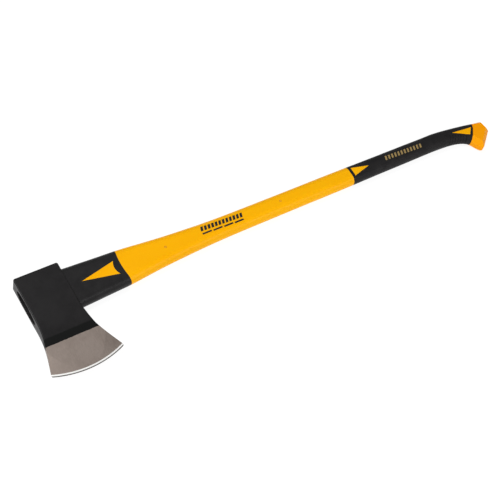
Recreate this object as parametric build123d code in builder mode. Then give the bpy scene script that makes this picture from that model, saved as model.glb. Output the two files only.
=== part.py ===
from build123d import *
import os
from math import cos, radians, sin, sqrt

# A single-bit felling axe with a moulded glass-fibre handle, lying on its cheek.
# All sizes are millimetres. The layout below is in the axe's own coordinates:
#   x along the handle, 0 at the head's top face, growing towards the butt
#   y square to the handle in the plane of the blade, 0 on the handle's centre line,
#     growing towards the poll
#   z through the cheeks, 0 on the axe's middle plane
# LAYOUT then places the whole axe so that the row's origin is under the middle of its box.

# Head
HEAD_HALF = 14.0          # half the thickness of the head at the eye
POLL_Y = 45.0             # flat striking face of the poll
POLL_LENGTH = 74.0        # head's top face to its bottom face, along the handle
EDGE_RADIUS = 158.0       # sweep of the cutting edge
EDGE_CENTRE_X = 42.5      # middle of the edge along the handle
EDGE_Y = -133.0           # furthest point of the cutting edge
HEEL_X = -16.0            # end of the edge beyond the top face
TOE_X = 105.0             # end of the edge on the handle side
BIT_LINE_Y = -77.0        # where the lacquer stops and the ground bit begins
BIT_LINE_HALF = 5.6       # half thickness at that line
BEVEL = 3.8               # width of the honed bevel
BEVEL_HALF = 1.2          # half thickness where the honed bevel begins
EDGE_FACE_HALF = 0.9      # the flat ground faces would reach this half thickness at the edge
BIT_SLOPE = 0.108         # slope of the bit's conical faces
CONE_FROM = 113.5         # which begin this far from the middle of the edge's sweep
EDGE_HALF = 0.15          # half of the flat left on the cutting edge
HEEL_LEAN = (-0.28, -0.96)  # directions of the head's outline where it meets the heel,
TOE_LEAN = (0.45, -0.89)    # the toe
THROAT_LEAN = (0.26, -1.0)  # and the collar
THROAT = (77.3, -54.0)      # a point of the outline between the collar and the toe
FLARE_Y = -37.5           # the outline leaves the eye block here
PLAN_ROUND = 3.0          # corners of the poll, heel and toe, seen on the cheek
CHEEK_ROUND = 1.5         # forged edge between the cheeks and the sides
CHEEK_FLAT_Y = -1.0       # the cheeks are flat from the poll to here
SHOULDER_Y = -65.0        # the ramp down to the bit begins here
SHOULDER_HALF = 8.9       # half thickness at the ramp's top
RAMP_LEAN = (-1, -0.32)   # direction of the cheeks where they meet the bit

# Eye
EYE_Y = -2.0              # centre of the eye
EYE_TOP = (62.0, 20.0)    # length and width of the eye at the top face
EYE_BOTTOM = (59.0, 18.4)
EYE_MOUTH = 0.9           # chamfer round the eye's top mouth
EYE_OVERRUN = 1.0         # how far the eye's cutter runs past both faces
TENON = (55.0, 15.6)      # handle end inside the eye, length and width
TENON_TOP_X = 8.0         # the handle end stops this far below the top face
RESIN_TOP_X = 4.5         # resin is poured to here
DAM_LENGTH = 5.0          # soft ring that keeps the liquid resin in the eye

# Handle skin: stations of (x, y, turn in degrees, half width, half thickness)
COLLAR_FRONT_X = POLL_LENGTH
COLLAR_END_X = 167.0      # the collar's curved end, at ZONE_HALF from the centre line
COLLAR_END_MID_X = 161.5  # and on it
ZONE_HALF = 38.0
GRIP_FRONT_X = 605.8
STRAIGHT = (
    (COLLAR_FRONT_X, 0.0, 0.0, 36.2, 12.8),
    (97.0, 0.0, 0.0, 34.7, 12.8),
    (120.0, 0.0, 0.0, 33.4, 12.7),
    (143.0, 0.0, 0.0, 32.2, 12.7),
    (166.0, 0.1, 0.0, 31.0, 12.7),
    (200.0, 0.3, 0.0, 27.8, 12.6),
    (240.0, 0.2, 0.0, 24.0, 12.6),
    (280.0, 0.1, 0.0, 21.3, 12.6),
    (320.0, 0.0, 0.0, 19.2, 12.6),
    (360.0, 0.0, 0.0, 18.1, 12.5),
    (430.0, 0.0, 0.0, 17.5, 12.5),
    (500.0, 0.0, 0.0, 17.1, 12.5),
    (580.0, 0.0, 0.0, 16.9, 12.4),
    (650.0, 0.0, 0.0, 16.1, 12.1),
    (700.0, 0.0, 0.0, 15.8, 11.95),
    (745.0, 0.0, 0.0, 15.5, 11.85),
    (790.0, 0.0, 0.0, 15.35, 11.8),
)
FOOT = (
    (790.0, 0.0, 0.0, 15.35, 11.8),
    (815.0, -1.2, 5.0, 15.1, 11.8),
    (836.0, -3.5, 15.0, 15.1, 12.1),
    (855.9, -7.2, 25.0, 16.5, 12.6),
    (873.4, -12.8, 37.0, 20.6, 13.2),
)
CORNER = 0.93             # corner radius of a section, as a part of its half thickness
SKIN = 2.2                # thickness of the soft black mouldings

# Windows in the black mouldings, where raised islands of the yellow jacket show flush
ARROW_TIP_X = 93.5
ARROW_BASE_X = 153.0
ARROW_HALF = 12.4
ARROW_Y = -1.0
ARROW_SAG = 3.8
GRIP_ARROW_BASE_X = 611.5
GRIP_ARROW_TIP_X = 645.0
GRIP_ARROW_HALF = 8.4
REAR_TIP = (833.0, -1.8)
REAR_HIGH = (873.6, -6.0)
REAR_LOW = (862.6, -18.6)

# Straight pultruded rod inside the jacket
CORE = (24.0, 11.0)       # width and thickness
CORE_TOP_X = 12.0
CORE_END_X = 788.0

# Butt cap: plan outline behind the grip at mid-height, and the facets above and below
CAP_HALF = HEAD_HALF
CAP_SHOULDER = (904.6, 1.2)
CAP_NOSE = (907.8, -21.2)
CAP_TOE = (873.4, -51.4)
CAP_CORNER = 4.5
CAP_BAND = 4.5            # half height of the upright band round the cap
CAP_TAPER = 38.0          # slope of the facets, in degrees from upright
CAP_SPIGOT = (19.0, 12.0, 11.0)   # width, thickness and depth of its spigot in the jacket
SEAM_KINK = 5.0           # the seam with the grip turns here, above the handle's middle,
SEAM_LEAD = 3.6           # and its upper end lies this far ahead of the foot's end plane
SEAM_OVERRUN = 1.5        # the cutter of that lip, as a part of its length on the handle

# Printed and inlaid marks, plain slanted bars
INK = 0.15
PRINT_X = (307.5, 387.0)
PRINT_ROW = (1.7, 9.8)
PRINT_LINE = (-4.8, -1.9)
PRINT_TILT = -0.043       # the printed rows run off the handle's line by this much
PRINT_BARS = 12
PRINT_FILL = 0.68         # width of a bar, as a part of the bars' spacing
PRINT_DASHES = 4
DASH_FILL = 0.86
BADGE_X = (681.0, 763.0)
BADGE_ROW = (-3.3, 4.9)
BADGE_TILT = -0.033
BADGE_BARS = 12
BADGE_FILL = 0.52
BADGE_DEPTH = 0.7
BAR_SLANT = 2.6

# Grooves across the belly of the grip, ahead of the butt cap
RIB_COUNT = 7
RIB_PITCH = 5.4
RIB_WIDTH = 1.8
RIB_DEPTH = 0.6
RIB_LAST = (858.0, -9.5)  # where the last groove would cross the handle's middle
RIB_TURN = 26.0
RIB_FROM = 8.5            # distance of a groove's upper end from the handle's middle
RIB_TO = 30.0

REACH = 2 * HEAD_HALF     # far enough to pass through the axe

HEEL_TIP_X = -15.35       # the rounded heel's furthest point
CAP_TIP_X = 907.5         # the rounded cap's furthest point
BOX_MID_X = (HEEL_TIP_X + CAP_TIP_X) / 2
BOX_MID_Y = (POLL_Y + EDGE_Y) / 2
LAYOUT = Plane(origin=(-BOX_MID_X, -BOX_MID_Y, HEAD_HALF))


def place(x, y=0.0, z=0.0):
    """A point of the axe's layout, in the row's frame."""
    return Vector(x - BOX_MID_X, y - BOX_MID_Y, z + HEAD_HALF)


def across(x, y=0.0, turn=0.0):
    """Section plane across the handle: its X points at the poll and its Y out of the cheek."""
    angle = radians(turn)
    return Plane(
        origin=place(x, y),
        x_dir=(sin(angle), cos(angle), 0),
        z_dir=(cos(angle), -sin(angle), 0),
    )


def skin(stations, inset=0.0):
    """Solid handle form through its stations, drawn in by an even inset."""
    with BuildPart() as form:
        for x, y, turn, half_width, half_thick in stations:
            with BuildSketch(across(x, y, turn)):
                radius = CORNER * half_thick - inset
                RectangleRounded(2 * (half_width - inset), 2 * (half_thick - inset), radius)
        loft()
    return form.part


def slab(points, low=-REACH, high=REACH):
    """Prism along z over a polygon of the layout."""
    with BuildPart() as prism:
        with BuildSketch(LAYOUT.offset(low)):
            with BuildLine():
                Polyline(*points, close=True)
            make_face()
        extrude(amount=high - low)
    return prism.part


def on_edge(x):
    """Point of the cutting edge's arc at x."""
    return (x, SWEEP[1] - sqrt(EDGE_RADIUS**2 - (x - SWEEP[0]) ** 2))


def eye_plug(x_top, x_bottom):
    """Solid that fills the tapered eye between two places along the handle."""
    with BuildPart() as plug:
        for x in (x_top, x_bottom):
            share = x / POLL_LENGTH
            length = EYE_TOP[0] + (EYE_BOTTOM[0] - EYE_TOP[0]) * share
            width = EYE_TOP[1] + (EYE_BOTTOM[1] - EYE_TOP[1]) * share
            with BuildSketch(across(x, EYE_Y)):
                Ellipse(length / 2, width / 2)
        loft()
    return plug.part


def bars(span, row, count, slant, fill, tilt):
    """Outlines of plain slanted bars, evenly spaced over a span of the handle."""
    pitch = (span[1] - span[0]) / count
    width = fill * pitch
    outlines = []
    for index in range(count):
        left = span[0] + index * pitch
        drift = tilt * (left - span[0])
        bottom = row[0] + drift
        top = row[1] + drift
        low = [(left, bottom), (left + width, bottom)]
        high = [(left + width + slant, top), (left + slant, top)]
        outlines.append(low + high)
    return outlines


SWEEP = (EDGE_CENTRE_X, EDGE_Y + EDGE_RADIUS)
outer_straight = skin(STRAIGHT)
outer_foot = skin(FOOT)
inner_straight = skin(STRAIGHT, SKIN)
inner_foot = skin(FOOT, SKIN)

# Plan windows through both mouldings
with BuildPart() as arrow_window:
    with BuildSketch(LAYOUT):
        with BuildLine():
            base = ThreePointArc(
                (ARROW_BASE_X, ARROW_Y + ARROW_HALF),
                (ARROW_BASE_X - ARROW_SAG, ARROW_Y),
                (ARROW_BASE_X, ARROW_Y - ARROW_HALF),
            )
            Polyline(base @ 1, (ARROW_TIP_X, ARROW_Y), base @ 0)
        make_face()
    extrude(amount=REACH, both=True)

front_window = slab(
    [
        (GRIP_ARROW_TIP_X, 0),
        (GRIP_ARROW_BASE_X, GRIP_ARROW_HALF),
        (GRIP_ARROW_BASE_X, -GRIP_ARROW_HALF),
    ]
)
rear_window = slab([REAR_TIP, REAR_HIGH, REAR_LOW])

# Forged head
with BuildPart() as axe_head:
    with BuildSketch(LAYOUT):
        with BuildLine():
            Line((0, POLL_Y), (POLL_LENGTH, POLL_Y))
            Line((POLL_LENGTH, POLL_Y), (POLL_LENGTH, FLARE_Y))
            Spline(
                (POLL_LENGTH, FLARE_Y),
                THROAT,
                on_edge(TOE_X),
                tangents=(THROAT_LEAN, TOE_LEAN),
            )
            ThreePointArc(on_edge(TOE_X), (EDGE_CENTRE_X, EDGE_Y), on_edge(HEEL_X))
            Spline(
                (0, FLARE_Y),
                on_edge(HEEL_X),
                tangents=((0, -1), HEEL_LEAN),
            )
            Line((0, FLARE_Y), (0, POLL_Y))
        outline = make_face()
        corners = outline.vertices().sort_by(Axis.Y)
        fillet(corners[:2] + corners[-2:], radius=PLAN_ROUND)
    extrude(amount=HEAD_HALF, both=True)
    # Cheeks: flat at the eye, tapering to a ramp, then the flat ground bit
    with BuildSketch(Plane(origin=place(0), x_dir=(0, 1, 0), z_dir=(1, 0, 0))):
        with BuildLine():
            flat = Line((POLL_Y, HEAD_HALF), (CHEEK_FLAT_Y, HEAD_HALF))
            cheek = Spline(
                flat @ 1,
                (SHOULDER_Y, SHOULDER_HALF),
                (BIT_LINE_Y, BIT_LINE_HALF),
                tangents=((-1, 0), RAMP_LEAN),
            )
            bit = Line(cheek @ 1, (EDGE_Y, EDGE_FACE_HALF))
            Polyline(bit @ 1, (EDGE_Y, 0), (POLL_Y, 0), flat @ 0)
        make_face()
        mirror(about=Plane.XZ)
    extrude(amount=2 * POLL_LENGTH, both=True, mode=Mode.INTERSECT)
    rims = axe_head.edges().filter_by(
        lambda edge: abs(edge.center().Z - HEAD_HALF) > BIT_LINE_HALF + 0.3
    )
    fillet(rims, radius=CHEEK_ROUND)
    # The bit's faces and its honed bevel are cones about the middle of the edge's sweep
    with BuildSketch(Plane(origin=place(*SWEEP), x_dir=(0, -1, 0), z_dir=(-1, 0, 0))):
        with BuildLine():
            bevel_start = EDGE_RADIUS - BEVEL
            cone_half = BEVEL_HALF + BIT_SLOPE * (bevel_start - CONE_FROM)
            cone = Line((CONE_FROM, cone_half), (bevel_start, BEVEL_HALF))
            hone = Line(cone @ 1, (EDGE_RADIUS, EDGE_HALF))
            Polyline(
                hone @ 1,
                (EDGE_RADIUS, 0),
                (0, 0),
                (0, REACH),
                (CONE_FROM, REACH),
                cone @ 0,
            )
        make_face()
        mirror(about=Plane.XZ)
    revolve(axis=Axis(place(*SWEEP), (0, 0, 1)), mode=Mode.INTERSECT)
    add(eye_plug(-EYE_OVERRUN, POLL_LENGTH + EYE_OVERRUN), mode=Mode.SUBTRACT)
    mouth = axe_head.edges().filter_by(
        lambda edge: (edge.center(CenterOf.BOUNDING_BOX) - place(0, EYE_Y)).length < EYE_MOUTH
    )
    chamfer(mouth, length=EYE_MOUTH)
axe_head.part.label = "axe_head"

# Handle end in the eye, the resin round and over it, and the ring that dams the resin
with BuildPart() as tenon:
    with BuildSketch(across(TENON_TOP_X, EYE_Y)):
        Ellipse(TENON[0] / 2, TENON[1] / 2)
    extrude(amount=POLL_LENGTH - TENON_TOP_X)

with BuildPart() as eye_resin:
    add(eye_plug(RESIN_TOP_X, POLL_LENGTH - DAM_LENGTH))
    add(tenon.part, mode=Mode.SUBTRACT)
eye_resin.part.label = "eye_resin"

with BuildPart() as resin_dam:
    add(eye_plug(POLL_LENGTH - DAM_LENGTH, POLL_LENGTH))
    add(tenon.part, mode=Mode.SUBTRACT)
resin_dam.part.label = "resin_dam"

# Pultruded rod
with BuildPart() as glass_fibre_core:
    with BuildSketch(across(CORE_TOP_X)):
        Ellipse(CORE[0] / 2, CORE[1] / 2)
    extrude(amount=CORE_END_X - CORE_TOP_X)
glass_fibre_core.part.label = "glass_fibre_core"

# Soft black guard under the head
with BuildPart() as collar_zone:
    with BuildSketch(LAYOUT):
        with BuildLine():
            end = ThreePointArc(
                (COLLAR_END_X, ZONE_HALF),
                (COLLAR_END_MID_X, 0),
                (COLLAR_END_X, -ZONE_HALF),
            )
            Polyline(end @ 1, (COLLAR_FRONT_X, -ZONE_HALF), (COLLAR_FRONT_X, ZONE_HALF), end @ 0)
        make_face()
    extrude(amount=REACH, both=True)

with BuildPart() as overstrike_collar:
    add(outer_straight)
    add(collar_zone.part, mode=Mode.INTERSECT)
    add(inner_straight, mode=Mode.SUBTRACT)
    add(arrow_window.part, mode=Mode.SUBTRACT)
overstrike_collar.part.label = "overstrike_collar"

# Soft black grip, with ribs across its belly and the badge's bars cut out
grip_reach = FOOT[-1][0] + ZONE_HALF
grip_zone = slab(
    [
        (GRIP_FRONT_X, ZONE_HALF),
        (GRIP_FRONT_X, -ZONE_HALF),
        (grip_reach, -ZONE_HALF),
        (grip_reach, ZONE_HALF),
    ]
)
badge_outlines = bars(BADGE_X, BADGE_ROW, BADGE_BARS, BAR_SLANT, BADGE_FILL, BADGE_TILT)
with BuildPart() as grip_badge:
    for outline in badge_outlines:
        add(slab(outline, low=0))
    add(outer_straight, mode=Mode.INTERSECT)
    add(skin(STRAIGHT, BADGE_DEPTH), mode=Mode.SUBTRACT)
grip_badge.part.label = "grip_badge"

along = Vector(cos(radians(RIB_TURN)), -sin(radians(RIB_TURN)))
down = Vector(-sin(radians(RIB_TURN)), -cos(radians(RIB_TURN)))
with BuildPart() as rib_grooves:
    for index in range(RIB_COUNT):
        front = Vector(*RIB_LAST) - along * (index * RIB_PITCH)
        back = front + along * RIB_WIDTH
        add(
            slab(
                [
                    front + down * RIB_FROM,
                    front + down * RIB_TO,
                    back + down * RIB_TO,
                    back + down * RIB_FROM,
                ]
            )
        )
    add(skin(FOOT, RIB_DEPTH), mode=Mode.SUBTRACT)

# Where the handle ends, and the lip of the cap that laps over the grip's upper corner
foot_x, foot_y, foot_turn, foot_half, _ = FOOT[-1]
foot_plane = across(foot_x, foot_y, foot_turn)
foot_end = Vector(foot_x, foot_y)
foot_up = Vector(sin(radians(foot_turn)), cos(radians(foot_turn)))
foot_on = Vector(cos(radians(foot_turn)), -sin(radians(foot_turn)))
foot_lean = foot_up * foot_half
kink = foot_end + foot_up * SEAM_KINK
seam = foot_end + foot_lean - foot_on * SEAM_LEAD - kink
with BuildPart() as seam_lip:
    add(slab([kink, foot_end + foot_lean * SEAM_OVERRUN, kink + seam * SEAM_OVERRUN]))
    add(outer_foot, mode=Mode.INTERSECT)

with BuildPart() as grip_sleeve:
    add(outer_straight)
    add(outer_foot)
    add(grip_zone, mode=Mode.INTERSECT)
    add(inner_straight, mode=Mode.SUBTRACT)
    add(inner_foot, mode=Mode.SUBTRACT)
    add(front_window, mode=Mode.SUBTRACT)
    add(rear_window, mode=Mode.SUBTRACT)
    add(grip_badge.part, mode=Mode.SUBTRACT)
    add(rib_grooves.part, mode=Mode.SUBTRACT)
    add(seam_lip.part, mode=Mode.SUBTRACT)
grip_sleeve.part.label = "grip_sleeve"

# Butt cap: a faceted block with a spigot that closes the jacket's end, and its lip
foot_back = foot_on * CAP_HALF
with BuildPart() as butt_cap:
    with BuildSketch(LAYOUT):
        with BuildLine():
            Polyline(
                foot_end - foot_lean - foot_back,
                foot_end - foot_lean,
                CAP_TOE,
                CAP_NOSE,
                CAP_SHOULDER,
                foot_end + foot_lean,
                foot_end + foot_lean - foot_back,
                close=True,
            )
        block = make_face()
        far_corners = block.vertices().sort_by(lambda corner: (corner.center() - foot_end).length)
        fillet(far_corners[-3:], radius=CAP_CORNER)
    extrude(amount=CAP_BAND)
    upper_face = butt_cap.faces().filter_by(Axis.Z).sort_by(Axis.Z)[-1]
    extrude(upper_face, amount=CAP_HALF - CAP_BAND, taper=CAP_TAPER)
    mirror(about=LAYOUT)
    split(bisect_by=foot_plane, keep=Keep.TOP)
    with BuildSketch(foot_plane):
        Ellipse(CAP_SPIGOT[0] / 2, CAP_SPIGOT[1] / 2)
    extrude(amount=-CAP_SPIGOT[2])
    add(seam_lip.part)
butt_cap.part.label = "butt_cap"

# Yellow jacket: everything inside the black mouldings, flush in their windows and between them
with BuildPart() as shaft_jacket:
    add(outer_straight)
    add(outer_foot)
    add(overstrike_collar.part, mode=Mode.SUBTRACT)
    add(grip_sleeve.part, mode=Mode.SUBTRACT)
    add(rib_grooves.part, mode=Mode.SUBTRACT)
    add(grip_badge.part, mode=Mode.SUBTRACT)
    add(tenon.part)
    add(glass_fibre_core.part, mode=Mode.SUBTRACT)
    add(butt_cap.part, mode=Mode.SUBTRACT)
shaft_jacket.part.label = "shaft_jacket"

# Ink printed on the jacket: slanted bars over a line of dashes
with BuildPart() as shaft_print:
    for outline in bars(PRINT_X, PRINT_ROW, PRINT_BARS, BAR_SLANT, PRINT_FILL, PRINT_TILT):
        add(slab(outline, low=0))
    for outline in bars(PRINT_X, PRINT_LINE, PRINT_DASHES, 0, DASH_FILL, PRINT_TILT):
        add(slab(outline, low=0))
    add(skin(STRAIGHT, -INK), mode=Mode.INTERSECT)
    add(outer_straight, mode=Mode.SUBTRACT)
shaft_print.part.label = "shaft_print"

pieces = (
    axe_head,
    eye_resin,
    resin_dam,
    glass_fibre_core,
    shaft_jacket,
    overstrike_collar,
    grip_sleeve,
    butt_cap,
    grip_badge,
    shaft_print,
)
os.makedirs("parts", exist_ok=True)
for piece in pieces:
    export_step(piece.part, f"parts/{piece.part.label}.step")
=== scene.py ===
from math import cos, pi, radians, sin

import bmesh
import bpy
from mathutils import Matrix, Vector


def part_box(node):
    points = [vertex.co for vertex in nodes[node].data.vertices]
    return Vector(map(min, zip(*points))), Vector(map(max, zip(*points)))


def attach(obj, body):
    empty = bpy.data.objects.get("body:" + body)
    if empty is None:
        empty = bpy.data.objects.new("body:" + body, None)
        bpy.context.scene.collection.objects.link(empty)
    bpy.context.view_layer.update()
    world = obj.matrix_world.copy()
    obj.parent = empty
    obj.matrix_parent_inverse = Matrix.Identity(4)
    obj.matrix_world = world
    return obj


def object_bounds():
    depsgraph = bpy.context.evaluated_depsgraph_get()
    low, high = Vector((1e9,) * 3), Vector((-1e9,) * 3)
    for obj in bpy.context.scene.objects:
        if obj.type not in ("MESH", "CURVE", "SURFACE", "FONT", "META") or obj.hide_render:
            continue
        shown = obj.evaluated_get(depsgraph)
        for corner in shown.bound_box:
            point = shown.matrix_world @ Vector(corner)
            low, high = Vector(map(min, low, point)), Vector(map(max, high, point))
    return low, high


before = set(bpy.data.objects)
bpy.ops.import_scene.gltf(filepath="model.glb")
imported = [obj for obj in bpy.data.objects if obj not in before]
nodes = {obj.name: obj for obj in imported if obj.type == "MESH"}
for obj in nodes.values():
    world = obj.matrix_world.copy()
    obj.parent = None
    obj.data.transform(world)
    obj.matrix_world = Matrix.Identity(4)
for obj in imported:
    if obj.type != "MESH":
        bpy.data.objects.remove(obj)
cad_low, cad_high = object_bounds()

# Camera: where it stands round the axe, how it is rolled, and the point it looks at
AZIMUTH = radians(-47.93)
ELEVATION = radians(55.98)
ROLL = radians(19.85)
DISTANCE = 1.8338
LENS = 81.42
SENSOR = 36.0
AIM_FROM_CENTRE = Vector((-0.0771, -0.0119, 0.0))

# The axe's own measures that the looks need, in metres
POLL_LENGTH = 0.074         # the head's top face to the collar, along the handle
LACQUER_END = 0.056         # the bare bit's depth, from the edge to the lacquer
LACQUER_WANDER = 0.00025    # how far that line strays to either side
LACQUER_SOFT = 0.0002       # half the width over which it fades
RAMP = 0.012                # the ramp above it
RAMP_SOFT = 0.0010
EDGE_RADIUS = 0.158         # sweep of the cutting edge
EDGE_CENTRE = 0.0425        # its middle, from the head's top face along the handle
HONED = 0.0038              # width of the honed bevel
HONED_SOFT = 0.00015
EDGE_SHADOW = 0.0013          # width of the painted shadow strip along the edge, for the shaded underside of the far bevel
EDGE_SHADOW_SOFT = 0.0005

# Marks that the mould left on the jacket
PIN_MARKS = (0.2405, 0.4602)  # the pins' places, from the head's top face
PIN_RADIUS = 0.0016
PIN_SIDES = 28
PIN_RINGS = (               # radius as a share of PIN_RADIUS, and height above the jacket
    (1.30, -0.00040),
    (1.25, 0.0),
    (1.12, 0.00012),
    (0.95, 0.00014),
    (0.80, 0.00002),
    (0.45, -0.00012),
    (0.05, -0.00015),
)
SEAM_RADIUS = 0.00035       # half the parting line's width
SEAM_FLAT = 0.6             # its height as a share of that
SEAM_STEP = 0.006
SEAM_SIDES = 8

# Studio: the floor, the strength of the surroundings, and each soft box's place, size and power
FLOOR_REACH = 12.0
FLOOR_DROP = 0.0002
FLOOR_TONE = (0.18, 0.18, 0.18, 1.0)
FLOOR_GLOW = 0.90
WHITE = (1.0, 1.0, 1.0, 1.0)
SURROUNDINGS = 0.20
SOFT_BOXES = {
    "key": ((-1.2, 1.0, 2.6), 1.6, 62),
    "fill": ((1.1, -2.2, 1.5), 1.2, 30),
    "front": ((-1.4, -2.0, 1.2), 1.6, 17),
}

head_low, head_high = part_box("axe_head")
collar_low, collar_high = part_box("overstrike_collar")
grip_low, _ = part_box("grip_sleeve")
MID_Z = (head_low.z + head_high.z) / 2
TOP_FACE_X = collar_low.x - POLL_LENGTH
HANDLE_Y = (collar_low.y + collar_high.y) / 2


# ---------------------------------------------------------------- node helpers
def make_material(name):
    """A material with an empty Principled shader, and its node tree."""
    material = bpy.data.materials.new(name)
    material.use_nodes = True
    tree = material.node_tree
    return material, tree, tree.nodes["Principled BSDF"]


def feed(tree, source, socket):
    """Links a socket, or sets a plain value."""
    if isinstance(source, bpy.types.NodeSocket):
        tree.links.new(source, socket)
    else:
        socket.default_value = source


def place(tree, scale=(1, 1, 1), turn=(0, 0, 0)):
    """Object coordinates, in metres, scaled and turned."""
    coordinates = tree.nodes.new("ShaderNodeTexCoord")
    mapping = tree.nodes.new("ShaderNodeMapping")
    mapping.inputs["Scale"].default_value = scale
    mapping.inputs["Rotation"].default_value = turn
    tree.links.new(coordinates.outputs["Object"], mapping.inputs["Vector"])
    return mapping.outputs["Vector"]


def axis(tree, name):
    """One coordinate of the surface point, in metres."""
    split = tree.nodes.new("ShaderNodeSeparateXYZ")
    tree.links.new(place(tree), split.inputs[0])
    return split.outputs[name]


def noise(tree, scale, detail=4.0, rough=0.55, vector=None):
    """Noise from 0 to 1; scale is in features per metre."""
    node = tree.nodes.new("ShaderNodeTexNoise")
    node.inputs["Scale"].default_value = scale
    node.inputs["Detail"].default_value = detail
    node.inputs["Roughness"].default_value = rough
    tree.links.new(vector or place(tree), node.inputs["Vector"])
    return node.outputs["Fac"]


def grains(tree, scale):
    """Smoothed distance to the nearest of many scattered points."""
    node = tree.nodes.new("ShaderNodeTexVoronoi")
    node.feature = "SMOOTH_F1"
    node.inputs["Scale"].default_value = scale
    tree.links.new(place(tree), node.inputs["Vector"])
    return node.outputs["Distance"]


def calc(tree, operation, first, second=0.0, third=0.0):
    """One step of arithmetic."""
    node = tree.nodes.new("ShaderNodeMath")
    node.operation = operation
    for source, socket in zip((first, second, third), node.inputs):
        feed(tree, source, socket)
    return node.outputs[0]


def span(tree, value, low, high, out_low=0.0, out_high=1.0):
    """Smooth change from out_low to out_high as value goes from low to high."""
    node = tree.nodes.new("ShaderNodeMapRange")
    node.interpolation_type = "SMOOTHSTEP"
    for source, socket in zip((value, low, high, out_low, out_high), node.inputs):
        feed(tree, source, socket)
    return node.outputs[0]


def blend(tree, share, first, second):
    """Colour mix."""
    node = tree.nodes.new("ShaderNodeMix")
    node.data_type = "RGBA"
    feed(tree, share, node.inputs[0])
    for source, socket in ((first, node.inputs[6]), (second, node.inputs[7])):
        feed(tree, source if isinstance(source, bpy.types.NodeSocket) else (*source, 1.0), socket)
    return node.outputs[2]


def bump(tree, height, depth, normal=None):
    """Surface relief; depth is in metres."""
    node = tree.nodes.new("ShaderNodeBump")
    node.inputs["Strength"].default_value = 1.0
    node.inputs["Distance"].default_value = depth
    tree.links.new(height, node.inputs["Height"])
    if normal is not None:
        tree.links.new(normal, node.inputs["Normal"])
    return node.outputs["Normal"]


# ------------------------------------------------------------------- materials
def head_masks(tree):
    """Shares from 0 to 1: bare bit, ramp (its colour carries painted shade), honed bevel, and the
    painted shadow strip along the edge.
    """
    x, y = axis(tree, "X"), axis(tree, "Y")
    wander = span(tree, noise(tree, 180, 3), 0.3, 0.7, -LACQUER_WANDER, LACQUER_WANDER)
    from_line = calc(tree, "SUBTRACT", calc(tree, "ADD", y, wander), head_low.y + LACQUER_END)
    bare = span(tree, from_line, LACQUER_SOFT, -LACQUER_SOFT)
    on_ramp = span(tree, from_line, RAMP + RAMP_SOFT, RAMP - RAMP_SOFT)
    across = calc(tree, "POWER", calc(tree, "SUBTRACT", x, TOP_FACE_X + EDGE_CENTRE), 2.0)
    deep = calc(tree, "POWER", calc(tree, "SUBTRACT", y, head_low.y + EDGE_RADIUS), 2.0)
    reach = calc(tree, "SQRT", calc(tree, "ADD", across, deep))
    start = EDGE_RADIUS - HONED
    honed = span(tree, reach, start - HONED_SOFT, start + HONED_SOFT)
    # The painted shadow strip along the edge starts this far from the sweep centre.
    dark = EDGE_RADIUS - EDGE_SHADOW
    edge_shadow = span(tree, reach, dark - EDGE_SHADOW_SOFT, dark)
    return bare, on_ramp, honed, edge_shadow


def head_finish():
    """Black lacquer over forged steel, with a bare ground bit and a honed bevel, painted shade on the
    ramp above the lacquer line, and a painted shadow strip along the edge.
    """
    material, tree, shader = make_material("lacquered_head")
    bare, on_ramp, honed, edge_shadow = head_masks(tree)
    painted = calc(tree, "SUBTRACT", 1.0, bare)

    mottle = noise(tree, 45, 5, 0.6)
    lacquer = blend(tree, mottle, (0.0085, 0.0080, 0.0085), (0.0135, 0.0125, 0.0130))
    # Painted shade: the ramp's lacquer is darkened to near black to stand in for the dark reflection
    # on that steeper face.
    lacquer = blend(tree, on_ramp, lacquer, (0.0005, 0.0008, 0.0006))
    grinding = noise(tree, 1.0, 6, 0.7, place(tree, (2600, 90, 300), (0, 0, radians(8))))
    ground = span(tree, grinding, 0.25, 0.75)
    stain = span(tree, noise(tree, 28, 6, 0.65), 0.35, 0.75, 0.0, 0.5)
    steel = blend(tree, ground, (0.25, 0.205, 0.180), (0.33, 0.280, 0.248))
    steel = blend(tree, stain, steel, (0.21, 0.17, 0.145))
    steel = blend(tree, honed, steel, (0.97, 0.96, 0.94))
    # Painted shadow: a darker strip along the edge for the shaded underside of the far bevel.
    steel = blend(tree, edge_shadow, steel, (0.13, 0.12, 0.11))
    feed(tree, blend(tree, bare, lacquer, steel), shader.inputs["Base Color"])

    lacquer_rough = span(tree, noise(tree, 90, 5), 0.3, 0.7, 0.36, 0.46)
    lacquer_rough = calc(tree, "MULTIPLY_ADD", on_ramp, 0.2, lacquer_rough)
    steel_rough = span(tree, grinding, 0.2, 0.8, 0.42, 0.62)
    steel_rough = calc(tree, "SUBTRACT", steel_rough, calc(tree, "MULTIPLY", honed, 0.12))
    lacquer_part = calc(tree, "MULTIPLY", painted, lacquer_rough)
    rough = calc(tree, "MULTIPLY_ADD", bare, steel_rough, lacquer_part)
    feed(tree, rough, shader.inputs["Roughness"])
    less_metal = calc(tree, "MULTIPLY", honed, -0.55)
    metal = calc(tree, "MULTIPLY_ADD", bare, 0.85, less_metal)
    feed(tree, metal, shader.inputs["Metallic"])
    shader.inputs["Specular IOR Level"].default_value = 0.18

    peel = calc(tree, "MULTIPLY", noise(tree, 1400, 2), painted)
    scratch = calc(tree, "MULTIPLY", grinding, bare)
    normal = bump(tree, peel, 0.00005)
    normal = bump(tree, noise(tree, 160, 3), 0.00012, normal)
    normal = bump(tree, scratch, 0.00006, normal)
    feed(tree, normal, shader.inputs["Normal"])
    return material


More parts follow.
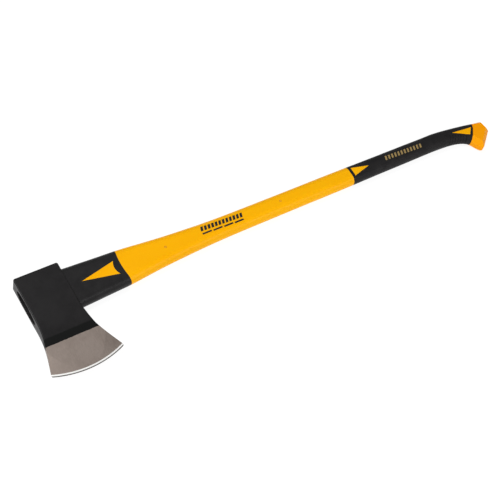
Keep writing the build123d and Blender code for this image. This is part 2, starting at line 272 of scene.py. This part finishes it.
def moulded_polymer(name, pale, deep, rough):
    """Smooth moulded polypropylene: flow marks, a light satin gloss and fine handling marks."""
    material, tree, shader = make_material(name)
    flow = noise(tree, 9, 4, 0.5, place(tree, (0.6, 3.0, 3.0)))
    speckle = noise(tree, 900, 2)
    colour = blend(tree, span(tree, flow, 0.3, 0.7), deep, pale)
    colour = blend(tree, span(tree, speckle, 0.55, 0.8, 0.0, 0.12), colour, pale)
    feed(tree, colour, shader.inputs["Base Color"])
    handled = noise(tree, 60, 5, 0.65)
    satin = span(tree, handled, 0.3, 0.7, rough - 0.05, rough + 0.07)
    feed(tree, satin, shader.inputs["Roughness"])
    shader.inputs["Specular IOR Level"].default_value = 0.06
    shader.inputs["Subsurface Weight"].default_value = 0.06
    shader.inputs["Subsurface Radius"].default_value = (0.002, 0.0012, 0.0003)
    normal = bump(tree, noise(tree, 2200, 2), 0.00002)
    normal = bump(tree, noise(tree, 70, 2), 0.00010, normal)
    feed(tree, normal, shader.inputs["Normal"])
    return material


def black_rubber(name, dark, light, rough, grain_scale, grain_depth):
    """Soft-touch thermoplastic rubber with a pebbled grain."""
    material, tree, shader = make_material(name)
    bloom = noise(tree, 55, 5, 0.6)
    colour = blend(tree, span(tree, bloom, 0.3, 0.75), dark, light)
    feed(tree, colour, shader.inputs["Base Color"])
    satin = span(tree, noise(tree, 120, 4), 0.3, 0.7, rough - 0.05, rough + 0.06)
    feed(tree, satin, shader.inputs["Roughness"])
    shader.inputs["Specular IOR Level"].default_value = 0.10
    pebbles = grains(tree, grain_scale)
    normal = bump(tree, pebbles, grain_depth)
    normal = bump(tree, noise(tree, 140, 3), 0.00010, normal)
    feed(tree, normal, shader.inputs["Normal"])
    return material


def poured_resin():
    """Dark epoxy with a faint skin and trapped dust; its near-black colour is partly painted shade
    for the recessed eye.
    """
    material, tree, shader = make_material("resin_with_eye_shade")
    dust = noise(tree, 120, 4)
    # Painted shade: both resin tones are kept near black so the recessed eye reads as shaded.
    colour = blend(tree, dust, (0.004, 0.004, 0.004), (0.010, 0.009, 0.008))
    feed(tree, colour, shader.inputs["Base Color"])
    skin = span(tree, noise(tree, 200, 4), 0.3, 0.7, 0.22, 0.4)
    feed(tree, skin, shader.inputs["Roughness"])
    feed(tree, bump(tree, noise(tree, 220, 3), 0.0004), shader.inputs["Normal"])
    return material


def glass_rod():
    """Pultruded glass fibre: long pale strands in straw-coloured resin."""
    material, tree, shader = make_material("glass_strands")
    strands = noise(tree, 1.0, 5, 0.6, place(tree, (12, 2500, 2500)))
    colour = blend(tree, strands, (0.45, 0.38, 0.22), (0.75, 0.70, 0.52))
    feed(tree, colour, shader.inputs["Base Color"])
    feed(tree, span(tree, strands, 0.3, 0.7, 0.35, 0.55), shader.inputs["Roughness"])
    feed(tree, bump(tree, strands, 0.0001), shader.inputs["Normal"])
    return material


def ink(name, dark, light, rough):
    """Printed, inlaid or darker-toned marks, slightly uneven."""
    material, tree, shader = make_material(name)
    wear = noise(tree, 700, 4, 0.7)
    feed(tree, blend(tree, span(tree, wear, 0.35, 0.7), dark, light), shader.inputs["Base Color"])
    feed(tree, span(tree, wear, 0.3, 0.7, rough - 0.08, rough + 0.08), shader.inputs["Roughness"])
    feed(tree, bump(tree, wear, 0.00003), shader.inputs["Normal"])
    return material


yellow = moulded_polymer("yellow_polymer", (0.94, 0.445, 0.002), (0.91, 0.415, 0.001), 0.36)
orange = moulded_polymer("orange_polymer", (0.96, 0.352, 0.001), (0.94, 0.330, 0.001), 0.45)
FINISHES = {
    "axe_head": head_finish(),
    "eye_resin": poured_resin(),
    "resin_dam": black_rubber(
        "foam_ring", (0.02, 0.02, 0.02), (0.05, 0.05, 0.05), 0.85, 1500, 0.0002
    ),
    "glass_fibre_core": glass_rod(),
    "shaft_jacket": yellow,
    "overstrike_collar": black_rubber(
        "collar_rubber", (0.0145, 0.0140, 0.0145), (0.0205, 0.0198, 0.0203), 0.42, 2600, 0.00004
    ),
    "grip_sleeve": black_rubber(
        "grip_rubber", (0.0130, 0.0124, 0.0130), (0.0195, 0.0186, 0.0190), 0.56, 1300, 0.00012
    ),
    "butt_cap": orange,
    "grip_badge": ink("gold_inlay", (0.24, 0.165, 0.055), (0.42, 0.29, 0.11), 0.4),
    "shaft_print": ink("black_ink", (0.006, 0.006, 0.006), (0.016, 0.014, 0.011), 0.45),
}
for name, finish in FINISHES.items():
    slots = nodes[name].data.materials
    slots.clear()
    slots.append(finish)


# -------------------------------------------------------------- moulded details
def add_piece(name, mesh_data, finish):
    """Links a bmesh as a piece of the axe."""
    mesh = bpy.data.meshes.new(name)
    mesh_data.to_mesh(mesh)
    mesh_data.free()
    for polygon in mesh.polygons:
        polygon.use_smooth = True
    piece = bpy.data.objects.new(name, mesh)
    bpy.context.scene.collection.objects.link(piece)
    piece.data.materials.append(finish)
    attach(piece, "root")


def jacket_point(x, direction):
    """The jacket's surface, hit from outside against the given direction, and its normal."""
    start = Vector((x, HANDLE_Y, MID_Z)) - Vector(direction)
    _, point, normal, _ = nodes["shaft_jacket"].ray_cast(start, direction)
    return point, normal


def angles(sides):
    """Evenly spaced angles round a ring."""
    return [2 * pi * index / sides for index in range(sides)]


def cover(shape, rings):
    """Walls between neighbouring rings of points, and a face over each end."""
    circles = [[shape.verts.new(point) for point in ring] for ring in rings]
    for before, after in zip(circles, circles[1:]):
        for index in range(len(before)):
            following = (index + 1) % len(before)
            corners = (before[index], before[following], after[following], after[index])
            shape.faces.new(corners)
    shape.faces.new(circles[-1])
    shape.faces.new(reversed(circles[0]))


def pin_ring(centre, turn, radius, height):
    """One ring of a pin mark, turned to lie on the jacket."""
    flat = [Vector((cos(angle) * radius, sin(angle) * radius, height)) for angle in angles(PIN_SIDES)]
    return [centre + turn @ offset for offset in flat]


def pin_marks():
    """Shallow dished rings that the moulding pins left along the upper and lower crests."""
    shape = bmesh.new()
    for distance in PIN_MARKS:
        for direction in ((0, 0, -1), (0, 0, 1)):
            centre, normal = jacket_point(TOP_FACE_X + distance, direction)
            turn = normal.to_track_quat("Z", "X")
            cover(
                shape,
                [pin_ring(centre, turn, share * PIN_RADIUS, height) for share, height in PIN_RINGS],
            )
    bmesh.ops.recalc_face_normals(shape, faces=shape.faces)
    return shape


def seam_ring(x, side):
    """The parting line's flattened section at one place along the jacket."""
    centre, _ = jacket_point(x, (0, -side, 0))
    flat = [Vector((0, cos(angle) * SEAM_FLAT, sin(angle))) for angle in angles(SEAM_SIDES)]
    return [centre + offset * SEAM_RADIUS for offset in flat]


def parting_lines():
    """The fine ridge where the two halves of the mould met, along both sides of the jacket."""
    shape = bmesh.new()
    steps = int((grip_low.x - collar_high.x) / SEAM_STEP)
    places = [collar_high.x + index * SEAM_STEP for index in range(1, steps)]
    for side in (1, -1):
        cover(shape, [seam_ring(x, side) for x in places])
    bmesh.ops.recalc_face_normals(shape, faces=shape.faces)
    return shape


# The pin marks are coloured a darker orange than the jacket.
pin_mark_tone = ink("pin_mark", (0.42, 0.13, 0.004), (0.60, 0.22, 0.006), 0.5)
add_piece("moulding_pin_marks", pin_marks(), pin_mark_tone)
add_piece("jacket_parting_lines", parting_lines(), yellow)


# ------------------------------------------------------------------------ stage
def make_floor():
    """A pale floor under the axe, wide enough for every view."""
    mesh = bpy.data.meshes.new("floor")
    corners = [(-1, -1), (1, -1), (1, 1), (-1, 1)]
    mesh.from_pydata([(x * FLOOR_REACH, y * FLOOR_REACH, 0) for x, y in corners], [], [(0, 1, 2, 3)])
    floor = bpy.data.objects.new("floor", mesh)
    bpy.context.scene.collection.objects.link(floor)
    floor.location.z = cad_low.z - FLOOR_DROP
    material, _, shader = make_material("pale_floor")
    shader.inputs["Base Color"].default_value = FLOOR_TONE
    shader.inputs["Roughness"].default_value = 0.9
    shader.inputs["Specular IOR Level"].default_value = 0.1
    shader.inputs["Emission Color"].default_value = WHITE
    shader.inputs["Emission Strength"].default_value = FLOOR_GLOW
    mesh.materials.append(material)


def make_light(name, place_at, size, power):
    """A square soft box that faces the axe."""
    light = bpy.data.lights.new(name, "AREA")
    light.shape = "SQUARE"
    light.size = size
    light.energy = power
    lamp = bpy.data.objects.new(name, light)
    bpy.context.scene.collection.objects.link(lamp)
    lamp.location = place_at
    lamp.rotation_mode = "QUATERNION"
    lamp.rotation_quaternion = (-Vector(place_at)).to_track_quat("-Z", "Y")


def make_world():
    """Even white surroundings."""
    world = bpy.data.worlds.new("studio")
    world.use_nodes = True
    background = world.node_tree.nodes["Background"]
    background.inputs["Color"].default_value = WHITE
    background.inputs["Strength"].default_value = SURROUNDINGS
    bpy.context.scene.world = world


def make_camera():
    """The camera, aimed a little off the middle of the axe's box."""
    data = bpy.data.cameras.new("camera")
    data.lens = LENS
    data.sensor_width = SENSOR
    camera = bpy.data.objects.new("camera", data)
    bpy.context.scene.collection.objects.link(camera)
    back = Vector((sin(AZIMUTH) * cos(ELEVATION), -cos(AZIMUTH) * cos(ELEVATION), sin(ELEVATION)))
    level = Vector((cos(AZIMUTH), sin(AZIMUTH), 0))
    rise = back.cross(level)
    right = cos(ROLL) * level + sin(ROLL) * rise
    up = back.cross(right)
    aim = (cad_low + cad_high) / 2 + AIM_FROM_CENTRE
    turn = Matrix((right, up, back)).transposed().to_4x4()
    camera.matrix_world = Matrix.Translation(aim + back * DISTANCE) @ turn
    bpy.context.scene.camera = camera


make_floor()
make_world()
for name, (place_at, size, power) in SOFT_BOXES.items():
    make_light(name, place_at, size, power)
make_camera()
bpy.context.scene.view_settings.view_transform = "Standard"
